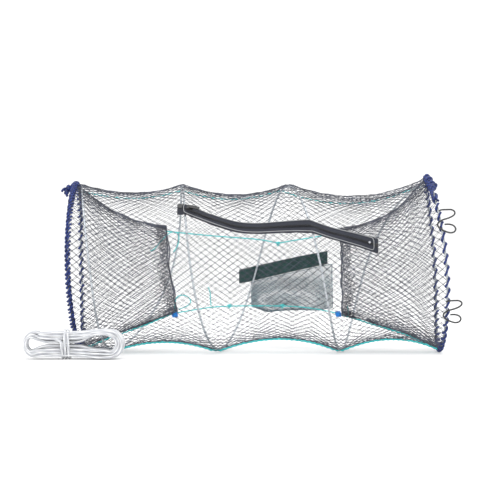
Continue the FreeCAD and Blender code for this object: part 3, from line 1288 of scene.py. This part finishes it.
@dataclass(frozen=True)
class WallBand:
    """A flat band that lies along the netting wall between two places."""

    form: TrapForm
    x: tuple[float, float]
    degrees: tuple[float, float]
    proud: float
    waves: tuple[tuple[float, float, float], ...] = ()

    def place(self, share: float, across: float, lift: float = 0.0) -> Vector:
        """A place on the band.

        Args:
            share: How far along it, from 0 to 1.
            across: How far round the wall from its middle line.
            lift: How far above it.

        Returns:
            The place.
        """
        x = self.x[0] + (self.x[1] - self.x[0]) * share
        degrees = self.degrees[0] + (self.degrees[1] - self.degrees[0]) * share
        degrees += sum(turn * bump_at(x, middle, reach) for middle, reach, turn in self.waves)
        shift = math.degrees(across / self.form.coil_radius)
        return self.form.wall(x, degrees + shift, self.proud + lift)

    def length(self) -> float:
        """The length of its middle line."""
        return route_length([self.place(i / 40, 0.0) for i in range(41)])

    def strip(self, name: str, low: float, high: float, thickness: float, steps: int = 90,
              threads: int = 5, ripple: float = 0.0) -> bpy.types.Object:
        """Make a strip of the band with some thickness, and a UV map in metres.

        Args:
            name: The piece's name.
            low: One edge, across from the middle line.
            high: The other edge.
            thickness: The cloth's thickness.
            steps: Faces along it.
            threads: Faces across it.
            ripple: How far its edges wander.

        Returns:
            The strip.
        """
        cloth = bmesh.new()
        layer = cloth.loops.layers.uv.new("cloth")
        bmesh.ops.create_grid(cloth, x_segments=steps, y_segments=threads, size=0.5)
        length, width = self.length(), high - low
        for face in cloth.faces:
            for corner in face.loops:
                corner[layer].uv = ((corner.vert.co.x + 0.5) * length, (corner.vert.co.y + 0.5) * width)
        for vert in cloth.verts:
            share, across = vert.co.x + 0.5, low + (vert.co.y + 0.5) * width
            place = self.place(share, across)
            wave = wander(place * 60, ripple).x
            vert.co = self.place(share, across + wave * 0.5, wave)
        bmesh.ops.solidify(cloth, geom=cloth.faces[:], thickness=thickness)
        bmesh.ops.recalc_face_normals(cloth, faces=cloth.faces[:])
        return shown(name, cloth)

    def dashes(self, name: str, rows: Sequence[float], spacing: float, size: tuple[float, float, float],
               lift: float, slant: float = 0.0, span: tuple[float, float] = (0.01, 0.99)) -> bpy.types.Object:
        """Make rows of short bars along the band, for stitches or teeth.

        Args:
            name: The piece's name.
            rows: Each row's distance across from the middle line.
            spacing: From one bar to the next.
            size: Each bar's length, width and height.
            lift: Its height above the band.
            slant: Its turn in the band's plane, in radians.
            span: The shares of the band between which the bars lie.

        Returns:
            The bars as one piece.
        """
        bars = bmesh.new()
        layer = bars.loops.layers.uv.new("thread")
        count = int(self.length() * (span[1] - span[0]) / spacing)
        for row in rows:
            for i in range(count):
                share = span[0] + (span[1] - span[0]) * (i + 0.5) / count
                here = self.place(share, row, lift)
                ahead = self.place(min(share + 0.01, 1.0), row, lift)
                along = (ahead - self.place(share - 0.01, row, lift)).normalized()
                out = (self.place(share, row, lift + 0.001) - here).normalized()
                across = out.cross(along).normalized()
                turn = Matrix((along, across, out)).transposed().to_4x4() @ Matrix.Rotation(slant, 4, "Z")
                bar = bmesh.ops.create_cube(bars, size=1.0, matrix=Matrix.Translation(here) @ turn
                                            @ Matrix.Diagonal((*size, 1.0)))
                for vert in bar["verts"]:
                    for corner in vert.link_loops:
                        corner[layer].uv = (i * spacing, 0.25)
        edges = [e for e in bars.edges if e.calc_length() > max(size) * 0.5]
        bmesh.ops.bevel(bars, geom=edges, offset=min(size) * 0.3, offset_type="OFFSET", affect="EDGES",
                        segments=1, profile=0.5, material=-1)
        return shown(name, bars)


@dataclass(frozen=True)
class Zip:
    """The catch door's zip: two tapes, coil teeth, edge stitching, a folded end, a stop and a stud.

    The slider, its pull and the end box are the CAD's own.
    """

    bench: Bench
    x: tuple[float, float] = (-0.128, 0.192)
    degrees: tuple[float, float] = (44.5, 13.5)
    waves: tuple[tuple[float, float, float], ...] = ((-0.035, 0.07, -1.2), (0.085, 0.13, 6.0))
    tape: float = 0.0098
    teeth: float = 0.0036
    cloth: float = 0.0009
    proud: float = 0.0016
    hem: float = 0.0019
    thread: float = 0.0009

    def build(self) -> None:
        """Build the zip on the wall, and dress the slider, its pull and the end box."""
        bench = self.bench
        band = WallBand(bench.form, self.x, self.degrees, self.proud, self.waves)
        reach = self.teeth / 2 + self.tape
        for side, low, high in (("upper", 0.0, reach), ("lower", -reach, 0.0)):
            piece = band.strip(f"zip_tape_{side}_cloth", low, high, self.cloth, ripple=0.0011)
            bench.fit(piece, Body.TRAP, "zip_tape", crumples=True, replaces=[f"zip_tape_{side}"])
        teeth = band.dashes("zip_coil_teeth", (-0.0007, 0.0007), 0.0021, (0.0011, 0.0026, 0.0016), 0.0006)
        bench.fit(teeth, Body.TRAP, "zip_teeth", crumples=True, replaces=["zip_teeth"])
        stitches = cord_mesh("zip_edge_stitching", [self.sewn(band)], self.thread, sides=1, closed=True)
        bench.fit(stitches, Body.TRAP, "zip_tape", bench.palette.thread, crumples=True)
        self.build_ends(band)
        bench.dress("zip_stop_left", "zip_teeth")
        bench.dress("zip_slider", "zip_slider")
        bench.dress("zip_pull", "zip_slider")

    def sewn(self, band: WallBand) -> list[Vector]:
        """The line of thread round the two tapes, along one edge and back along the other.

        Args:
            band: The zip's line on the wall.

        Returns:
            The thread's route.
        """
        edge = self.teeth / 2 + self.tape - self.hem
        route = [band.place(0.015 + 0.955 * i / 60, edge, self.hem) for i in range(61)]
        route += [band.place(0.978, edge * math.cos(math.pi * i / 4), self.hem) for i in range(1, 4)]
        route += [band.place(0.97 - 0.955 * i / 60, -edge, self.hem) for i in range(61)]
        route += [band.place(0.004, -edge * math.cos(math.pi * i / 4), self.hem) for i in range(1, 4)]
        return route

    def build_ends(self, band: WallBand) -> None:
        """Add the tapes' folded end on the left, and the stop and the stud on the right.

        Args:
            band: The zip's line on the wall.
        """
        bench = self.bench
        turn = (self.degrees[1] - self.degrees[0]) / (self.x[1] - self.x[0])
        ends = (self.x[0] - 0.0095, self.x[0] + 0.001)
        angles = tuple(self.degrees[0] + turn * (x - self.x[0]) for x in ends)
        short = WallBand(bench.form, ends, angles, self.proud)
        wide = self.teeth / 2 + self.tape - 0.0006
        tab = short.strip("zip_tape_folded_end", -wide, wide, 0.0014, steps=6)
        bench.fit(tab, Body.TRAP, "zip_tape", crumples=True)
        stop = band.dashes("zip_end_stop", (0.0,), 0.004, (0.0045, 0.0062, 0.0026), 0.0008,
                           span=(0.985, 0.9999))
        bench.fit(stop, Body.TRAP, "zip_teeth", crumples=True, replaces=["zip_stop_right"])
        stud = bmesh.new()
        place = band.place(0.956, 0.001, 0.0012)
        bmesh.ops.create_uvsphere(stud, u_segments=16, v_segments=8, radius=0.0019,
                                  matrix=Matrix.Translation(place))
        piece = shown("zip_white_stud", stud)
        bench.fit(piece, Body.TRAP, "zip_teeth", bench.palette.haul_rope, crumples=True)


@dataclass(frozen=True)
class BaitPouch:
    """The fine-mesh pouch on the far wall and the two halves of its hook-and-loop closure."""

    bench: Bench
    x: tuple[float, float] = (-0.036, 0.120)
    degrees: tuple[float, float] = (187.8, 173.4)
    width: float = 0.024
    pouch_x: tuple[float, float] = (-0.014, 0.128)
    mouth_below: float = 6.0
    foot_degrees: float = 218.0
    cell: float = 0.0019
    hem: float = 0.0014

    def build(self) -> None:
        """Build the strips and the pouch."""
        bench, half = self.bench, self.width / 2
        for side, body, proud, thickness in (("hook", Body.TRAP, 0.0008, 0.0010),
                                             ("loop", Body.BAIT_FLAP, 0.0024, 0.0012)):
            band = WallBand(bench.form, self.x, self.degrees, proud)
            piece = band.strip(f"bait_strip_{side}_side", -half, half, thickness, ripple=0.0005)
            bench.fit(piece, body, "hook_and_loop", crumples=True, replaces=[f"bait_strip_{side}"])
        self.build_pouch()

    def bag(self, share: float, down: float, outer: bool) -> Vector:
        """A place on the pouch.

        Args:
            share: How far along it, from 0 to 1.
            down: How far down from its mouth, from 0 to 1.
            outer: Whether it is on the outer sheet.

        Returns:
            The place.
        """
        x = self.pouch_x[0] + (self.pouch_x[1] - self.pouch_x[0]) * share
        along = (x - self.x[0]) / (self.x[1] - self.x[0])
        mouth = self.degrees[0] + (self.degrees[1] - self.degrees[0]) * along + self.mouth_below
        deep = min(1.0, 0.72 + (x - self.pouch_x[0]) * 10, 0.9 + (self.pouch_x[1] - x) / 0.3)
        degrees = mouth + (self.foot_degrees - mouth) * down * deep
        puff = 0.006 * math.sin(math.pi * share) ** 0.5 * math.sin(math.pi * min(down * 0.9 + 0.05, 1.0))
        return self.bench.form.wall(x, degrees, 0.0012 + (puff if outer else 0.0))

    def build_pouch(self) -> None:
        """Knit the pouch's two sheets and run a hem round them."""
        bench = self.bench
        length = self.pouch_x[1] - self.pouch_x[0]
        depth = math.radians(self.foot_degrees - self.degrees[0]) * bench.form.coil_radius
        net = DiamondNet(int(length / self.cell / 1.3), int(depth / self.cell), twine=0.0005, knot=0.0007,
                         stray=0.0004)
        for name, outer, stands_for in (("bait_pouch_mesh", True, ["bait_pouch"]),
                                        ("bait_pouch_mesh_back", False, [])):
            piece = shown(name, net.mesh(partial(self.bag, outer=outer)))
            bench.fit(piece, Body.TRAP, "pouch_mesh", crumples=True, replaces=stands_for)
        hem = [self.bag(i / 30, 0.0, True) for i in range(31)]
        hem += [self.bag(1.0, i / 12, True) for i in range(1, 13)]
        hem += [self.bag(1 - i / 30, 1.0, True) for i in range(1, 31)]
        hem += [self.bag(0.0, 1 - i / 12, True) for i in range(1, 12)]
        piece = cord_mesh("bait_pouch_hem", [hem], self.hem, sides=1, closed=True)
        bench.fit(piece, Body.TRAP, "pouch_mesh", crumples=True)


# ---- haul rope ----


@dataclass(frozen=True)
class HaulRope:
    """White braided rope, folded into a hank and tied round its waist with its own end."""

    bench: Bench
    rope: float = 0.0045
    left_x: float = -0.3858
    right_x: float = -0.2185
    waist_x: float = -0.3145
    columns: int = 6
    column_gap: float = 0.0049
    fold_depth: float = 0.92
    levels: tuple[float, ...] = (0.0215, 0.0176, 0.0137)
    even_waist: tuple[float, ...] = (0.0182, 0.0136, 0.0090)
    odd_waist: tuple[float, ...] = (0.0158, 0.0088, 0.0030)
    half_width: float = 0.0160
    wraps: int = 3
    wrap_pitch: float = 0.0053
    length: float = 6.75

    def middle(self) -> Vector:
        """The hank's middle, from its CAD solid."""
        low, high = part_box("haul_rope_hank")
        return (low + high) / 2

    def squeeze(self, x: float) -> float:
        """How far the inner turns are drawn in, from 0 where they fold to 1 along the waist.

        Args:
            x: The place along the trap.

        Returns:
            The share by which they are drawn in.
        """
        if x < self.waist_x:
            opening = (self.waist_x - 0.038 - x) / 0.020
        else:
            opening = (x - self.waist_x - 0.018) / 0.034
        t = min(max(opening, 0.0), 1.0)
        return 1 - t * t * (3 - 2 * t)

    def half_turn(self, turn: int, up: bool) -> list[Vector]:
        """Half a turn of the rope: a run along the hank and the fold at its end.

        Args:
            turn: Which turn it is.
            up: Whether it is the upper run, which goes to the right.

        Returns:
            The points of the run and the fold.
        """
        column = turn % self.columns
        level = turn // self.columns % len(self.levels)
        end_half = self.levels[level]
        waist_half = (self.odd_waist if column % 2 else self.even_waist)[level]
        middle = self.middle()
        stray = wander(Vector((turn * 3.1, 7.7, float(up))), 1.0)
        spread = (column - (self.columns - 1) / 2) * self.column_gap
        bend = self.fold_depth * end_half + self.rope / 2
        left = self.left_x + bend + 0.0015 * level + 0.004 * abs(stray.x)
        right = self.right_x - bend - 0.009 * abs(stray.y) - 0.004 * level
        sign = 1 if up else -1
        places = []
        for i in range(9):
            t = (i + 0.5) / 9
            x = left + (right - left) * (t if up else 1 - t)
            pull = self.squeeze(x)
            half = end_half + (waist_half - end_half) * pull
            raised = (0.0016 * level if x > self.waist_x else 0.0) * (1 - pull)
            waver = wander(Vector((x * 40, turn * 1.7, sign)), 0.0012)
            places.append(middle + Vector((x - middle.x, spread * (1.22 - 0.30 * pull) + waver.y,
                                           sign * half + waver.z * 0.6 + raised)))
        centre_x, reach = (right, 1) if up else (left, -1)
        for i in range(5):
            a = math.radians(90 - 180 * (i + 0.5) / 5) * (1 if up else -1)
            fan = 1.22 + 0.3 * stray.z
            x = centre_x - middle.x + reach * end_half * self.fold_depth * math.cos(a)
            places.append(middle + Vector((x, spread * fan, end_half * math.sin(a))))
        return places

    def route(self) -> list[Vector]:
        """The whole rope, from its bare end through every turn to the wraps round the waist.

        Returns:
            The rope's control points.
        """
        points = []
        for turn in range(self.columns * len(self.levels)):
            points += self.half_turn(turn, True) + self.half_turn(turn, False)
        middle = self.middle()
        wide, high = self.half_width + self.rope / 2, self.even_waist[0] + self.rope + 0.0002
        steps = 14
        for i in range(steps * self.wraps):
            a = 2 * math.pi * i / steps + math.pi * 0.9
            lie = wander(Vector((i / 5, 2.2, 0.4)), 0.0011)
            x = self.waist_x - 0.007 + self.wrap_pitch * i / steps
            points.append(Vector((x + lie.x, middle.y + wide * math.cos(a),
                                  max(middle.z + high * math.sin(a), self.rope / 2))))
        return points

    def build(self) -> None:
        route = self.route()
        piece = cord_curve("haul_rope", [route], self.rope, sides=2, rings=3)
        self.bench.fit(piece, Body.TRAP, "haul_rope", replaces=["haul_rope_hank"])
        LOG.info("haul rope: %.2f m between its control points", route_length(route))


# ---- studio ----


@dataclass(frozen=True)
class Studio:
    """A white floor, soft light from above and both sides, and the camera."""

    distance: float = 3.5
    eye_height: float = 0.236
    aim: Vector = Vector((-0.0255, 0.0, 0.182))
    view_width: float = 0.833

    def camera(self) -> None:
        """Place the camera level with the trap, on its near side."""
        data = bpy.data.cameras.new("camera")
        data.sensor_width = 36.0
        data.lens = data.sensor_width * self.distance / self.view_width
        data.clip_end = 100.0
        eye = bpy.data.objects.new("camera", data)
        eye.location = Vector((self.aim.x, -self.distance, self.eye_height))
        eye.rotation_euler = (self.aim - eye.location).to_track_quat("-Z", "Y").to_euler()
        bpy.context.scene.collection.objects.link(eye)
        bpy.context.scene.camera = eye

    def lamp(self, name: str, place: tuple[float, float, float], size: float, power: float) -> None:
        """Hang one soft lamp that faces the trap.

        Args:
            name: Its name.
            place: Where it hangs.
            size: The width of its square face.
            power: Its strength in watts.
        """
        data = bpy.data.lights.new(name, "AREA")
        data.size, data.energy = size, power
        lamp = bpy.data.objects.new(name, data)
        lamp.location = place
        lamp.rotation_euler = (Vector((0, 0, 0.14)) - lamp.location).to_track_quat("-Z", "Y").to_euler()
        bpy.context.scene.collection.objects.link(lamp)

    def build(self) -> None:
        """Lay the floor, light it and set the background."""
        ground = bmesh.new()
        bmesh.ops.create_grid(ground, x_segments=1, y_segments=1, size=30.0)
        floor = shown("studio_floor", ground)
        floor.data.materials.append(StudioPaper("matt_white_paper").make())
        self.lamp("overhead_softbox", (0.2, -0.3, 2.2), 2.2, 26.0)
        self.lamp("left_softbox", (-1.9, -1.6, 1.2), 1.2, 14.0)
        self.lamp("right_softbox", (1.8, -1.9, 1.0), 1.2, 9.0)
        world = bpy.data.worlds.new("white_studio")
        world.use_nodes = True
        backdrop = world.node_tree.nodes["Background"]
        backdrop.inputs["Color"].default_value = (1.0, 1.0, 1.0, 1.0)
        backdrop.inputs["Strength"].default_value = 1.12
        bpy.context.scene.world = world
        bpy.context.scene.view_settings.view_transform = "Standard"


def main() -> None:
    """Build the trap in order: camera, rope, wire, netting, lacing, cords, zip and bait pouch."""
    logging.basicConfig(level=logging.INFO, format="%(name)s: %(message)s")
    noise.seed_set(SEED)
    studio = Studio()
    studio.camera()
    bench = Bench(TrapForm(), Palette.mixed())
    HaulRope(bench).build()
    Wirework(bench).build()
    netting = Netting(bench)
    netting.build()
    Lacing(bench).build()
    Cords(bench, netting).build()
    Zip(bench).build()
    BaitPouch(bench).build()
    studio.build()
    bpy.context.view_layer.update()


if __name__ == "__main__":
    main()
